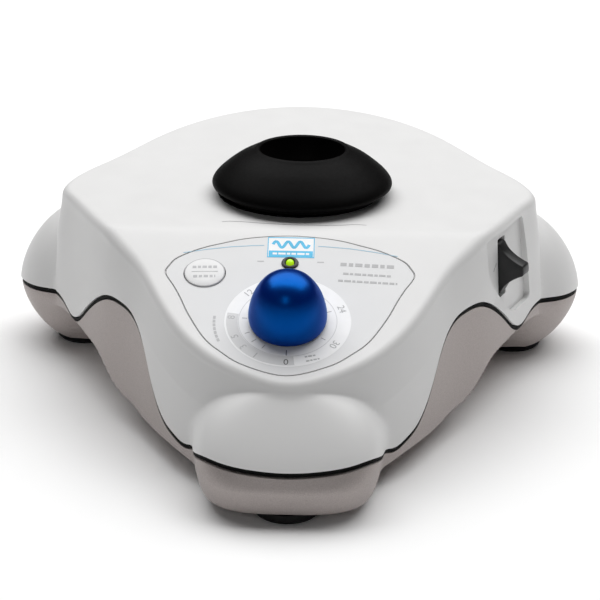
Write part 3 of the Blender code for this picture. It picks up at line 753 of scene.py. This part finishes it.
band("print_line_left", [(-30.6, 27.0), (-24, 28.6), (-17, 29.9), (-11, 30.5), (-7.7, 30.7)], 0.3, ink_blue)
band("print_line_right", [(7.7, 30.7), (11, 30.5), (17, 29.9), (24, 28.6), (30.4, 27.0)], 0.3, ink_blue)
band("print_badge_frame", [(-6.6, 25.9), (6.6, 25.9), (6.6, 34.1), (-6.6, 34.1)], 0.45, ink_cyan, closed=True)
printed("print_badge_plate", rect(12.8, 7.9, 0, 0, 30.0), ink_white)
printed("print_badge_strip", rect(12.6, 2.5, 0, 0, 27.3), ink_cyan, z=INK + 0.015)
wave = [(-5.2 + 10.4 * i / 40, 31.2 + 1.35 * sin(2 * pi * i / 13.33)) for i in range(41)]
band("print_badge_wave", wave, 0.95, ink_cyan, z=INK + 0.02)
words("print_badge_dash", -5.2, 5.3, 27.3, 0.8, ink_white, (1.6, 2.6, 1.2), z=INK + 0.03)
words("print_title", 14.2, 29.4, 23.3, 1.35, ink_and_crease_shade_mid, (1.3, 0.9, 1.5, 1.1), -0.05)
words("print_row_one", 15.0, 28.6, 19.5, 0.8, ink_and_crease_shade_mid, (1.9, 1.2, 2.3, 1.4), -0.06)
words("print_row_two", 13.6, 30.2, 16.6, 0.8, ink_and_crease_shade_mid, (1.7, 2.4, 1.1, 2.0), -0.06)
words("print_unit_one", 5.0, 8.2, -13.6, 0.5, ink_and_crease_shade_mid, (1.4, 2.0), 0.25, z=INK + 0.03)
words("print_unit_two", 5.4, 9.0, -15.2, 0.5, ink_and_crease_shade_mid, (1.8, 1.2), 0.3, z=INK + 0.03)
for i in range(7):
    a = 66 + 4.2 * i
    band("print_side_%d" % (i + 1), arc(20.2, a, a + 3.1, 3), 0.75, ink_pale)
for i, x in enumerate((-9.4, 7.6)):
    band("print_mark_%d" % (i + 1), [(x, 24.0), (x + 1.9, 24.0)], 0.4, ink_pale)
for obj in prints_and_shades:
    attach(obj, "housing")

# A darker line painted as the shade of the fine crease in the top in front of the cup, and the mark beside the switch.
prints_and_shades.clear()
FLAT = Matrix.Translation(Vector((0, 0, TOP)))
crease = [(-21.6, -33.8), (-19.6, -33.2), (-16, -33.4), (-11, -34.3), (-5, -35.0), (2, -35.4), (9, -35.3),
          (14, -34.8), (16.5, -34.2), (18.5, -34.2), (20.6, -34.6)]
# Painted shade: this darker line stands for the shade in the crease; the shell itself has no groove here.
band("painted_crease_shade", crease, 0.22, ink_and_crease_shade_mid, FLAT, 0.02)
FLOOR = SIDE @ Matrix.Translation(Vector((0, 0, -1.7)))
band("side_mark_one", [(-7.4, 2.6), (-6.6, 3.6)], 0.5, ink_and_crease_shade_mid, FLOOR, 0.02)
band("side_mark_two", [(-6.3, 3.6), (-5.3, 4.6)], 0.5, ink_and_crease_shade_mid, FLOOR, 0.02)
for obj in prints_and_shades:
    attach(obj, "housing")

# ------------------------------------------------------------------ mode key
n = 64
rows = [(1.0, -4.2), (1.0, 0.05), (0.985, 0.25), (0.95, 0.35), (0.6, 0.42), (0.3, 0.45)]
points = [PANEL @ Vector((x, y, z)) for s, z in rows for x, y in circle(5.7 * s, n, *KEY)]
faces = [tuple(reversed(range(n))), tuple(range(len(points) - n, len(points)))]
faces += [(k * n + i, k * n + (i + 1) % n, (k + 1) * n + (i + 1) % n, (k + 1) * n + i)
          for k in range(len(rows) - 1) for i in range(n)]
key = mesh("key_cap", points, faces)
join(key, prism("t", circle(1.6, 24, *KEY), -7.0, -4.0, PANEL))
put(soften(key, 35), key_mat)
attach(key, "key")
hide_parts("mode_key")
prints_and_shades.clear()
band("key_print_ring", circle(5.55, 64, *KEY), 0.24, ink_pale, z=0.36, closed=True)
band("key_print_bar", [(KEY[0] - 3.7, KEY[1]), (KEY[0] + 3.7, KEY[1] + 0.3)], 0.2, ink_and_crease_shade_mid, z=0.47)
for name, half, up, lengths in (("key_print_top", 3.5, 1.9, (1.1, 0.9, 1.3, 1.0)),
                                ("key_print_low", 3.1, -1.9, (1.2, 1.0, 1.3, 0.9))):
    words(name, KEY[0] - half, KEY[0] + half, KEY[1] + up, 0.95, ink_pale, lengths, 0.04, z=0.46)
for obj in prints_and_shades:
    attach(obj, "key")

# ------------------------------------------------------------------ lamp
AT_LED = PANEL @ Matrix.Translation(Vector((LED[0], LED[1], 0)))
ring = [(1.35, -3.0), (2.0, -3.0), (2.0, 0.05), (2.42, 0.05), (2.45, 0.2), (2.35, 0.4), (2.1, 0.55), (1.9, 0.6),
        (1.6, 0.55), (1.4, 0.4), (1.35, 0.2)]
bezel = put(lathe("lamp_ring", ring, AT_LED, 48), black)
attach(bezel, "housing")
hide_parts("led_bezel")
lens_top = [(1.1 * cos(radians(t)), 0.3 + 0.9 * sin(radians(t))) for t in range(15, 90, 15)]
lamp = put(lathe("lamp_lens", [(0, -9.6), (1.1, -9.6), (1.1, 0.3)] + lens_top + [(0, 1.2)], AT_LED, 40), lens)
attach(lamp, "housing")
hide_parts("led_lens")

# ------------------------------------------------------------------ speed knob
dome = [(0, 16.1), (2.6, 15.8), (4.9, 14.9), (6.9, 13.3), (8.4, 11.1), (9.6, 8.5), (10.4, 5.6), (10.8, 2.9),
        (10.7, 1.2), (10.4, 0.6)]
line = curve(dome, 8)
knob = put(lathe("knob_dome", line[::-1] + [(0, 12.0), (3.15, 12.0), (3.15, 0.6)], PANEL, 96), blue)
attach(knob, "speed_dial")
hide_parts("speed_knob")

# ------------------------------------------------------------------ rubber cup
side = [(13.0, 71.2), (13.5, 71.5), (14.2, 71.4), (15.4, 70.7), (17.8, 69.5), (20.1, 68.2), (22.2, 66.7),
        (24.3, 65.0), (26.2, 63.2), (27.3, 61.6), (27.3, 60.5), (26.4, 59.9), (24.9, 59.6), (24.4, 59.2), (24.4, 58.5)]
well = [(0, 62.2), (9.6, 62.2), (11.4, 64.4), (12.5, 68.0), (13.0, 71.2)]
under = [(18.4, 58.5), (18.4, 60.8), (0, 60.8)]
cup = lathe("cup_body", curve(side, 6) + under + curve(well, 6)[:-1], ORBIT, 128)
put(cup, rubber)
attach(cup, "head")
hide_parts("rubber_cup")

# ------------------------------------------------------------------ side switch paddle
upper = [(-1.5, 7.7), (-1.2, 7.3), (-0.2, 5.6), (1.1, 4.3), (2.5, 3.25), (3.8, 2.5), (5.0, 1.9), (5.8, 1.5), (6.1, 0.8)]
horn = curve([(x, -y) for x, y in upper] + list(reversed(upper)), 4)
paddle_outline = [(-9.0, -5.0), (-4.6, -7.9), (-1.9, -7.9)] + horn + [(-1.9, 7.9), (-4.6, 7.9), (-9.0, 5.0)]
ROCKER = SIDE @ Matrix.Translation(Vector((*ROCK, 0)))
FLANK = ROCKER @ Matrix(((0, 0, 1), (0, 1, 0), (1, 0, 0))).to_4x4()
paddle = bevelled(prism("paddle", paddle_outline, -2.3, 2.3, FLANK), 0.45, 3, 50)
put(soften(paddle, 35), black)
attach(paddle, "side_switch")
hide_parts("switch_paddle")

# Each press spring gets a mesh of its own.
for i in (1, 2, 3):
    name = "press_spring_%d" % i
    low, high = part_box(name)
    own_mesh(NODES[name])

# ------------------------------------------------------------------ floor, light, camera
floor = bpy.data.meshes.new("floor")
floor.from_pydata([(-6, -4, 0), (6, -4, 0), (6, 8, 0), (-6, 8, 0)], [], [(0, 1, 2, 3)])
floor_obj = bpy.data.objects.new("floor", floor)
bpy.context.scene.collection.objects.link(floor_obj)
put(floor_obj, material("floor_white", (0.99, 0.99, 0.99), 0.8))

world = bpy.data.worlds.new("studio")
bpy.context.scene.world = world
world.use_nodes = True
world.node_tree.nodes["Background"].inputs["Color"].default_value = (1, 1, 1, 1)
world.node_tree.nodes["Background"].inputs["Strength"].default_value = 0.05


def area(name, where, look, size, power):
    data = bpy.data.lights.new(name, "AREA")
    data.shape, data.size, data.size_y, data.energy = "RECTANGLE", size[0], size[1], power
    obj = bpy.data.objects.new(name, data)
    obj.location = where
    obj.rotation_euler = (Vector(look) - Vector(where)).to_track_quat("-Z", "Y").to_euler()
    bpy.context.scene.collection.objects.link(obj)


area("top_light", (0.04, 0.43, 1.15), (0.0, 0.08, 0.0), (2.2, 1.2), 27)
area("front_light", (-0.12, -1.0, 0.62), (0, 0, 0.06), (0.22, 0.4), 0.7)

cam = bpy.data.cameras.new("camera")
cam.lens, cam.sensor_width, cam.sensor_fit = 108.0, 36.0, "HORIZONTAL"
cam_obj = bpy.data.objects.new("camera", cam)
bpy.context.scene.collection.objects.link(cam_obj)
TARGET = Vector((0.75, SHIFT, 19.2)) / 1000
PITCH, AZIMUTH, DISTANCE, ROLL = radians(21.9), radians(1.19), 0.571, radians(0.65)
back = Vector((sin(AZIMUTH) * cos(PITCH), -cos(AZIMUTH) * cos(PITCH), sin(PITCH)))
cam_obj.location = TARGET + back * DISTANCE
aim = (-back).to_track_quat("-Z", "Y").to_matrix().to_4x4()
cam_obj.rotation_euler = (aim @ Matrix.Rotation(ROLL, 4, "Z")).to_euler()
bpy.context.scene.camera = cam_obj
bpy.context.scene.view_settings.view_transform = "Standard"

bpy.context.view_layer.update()
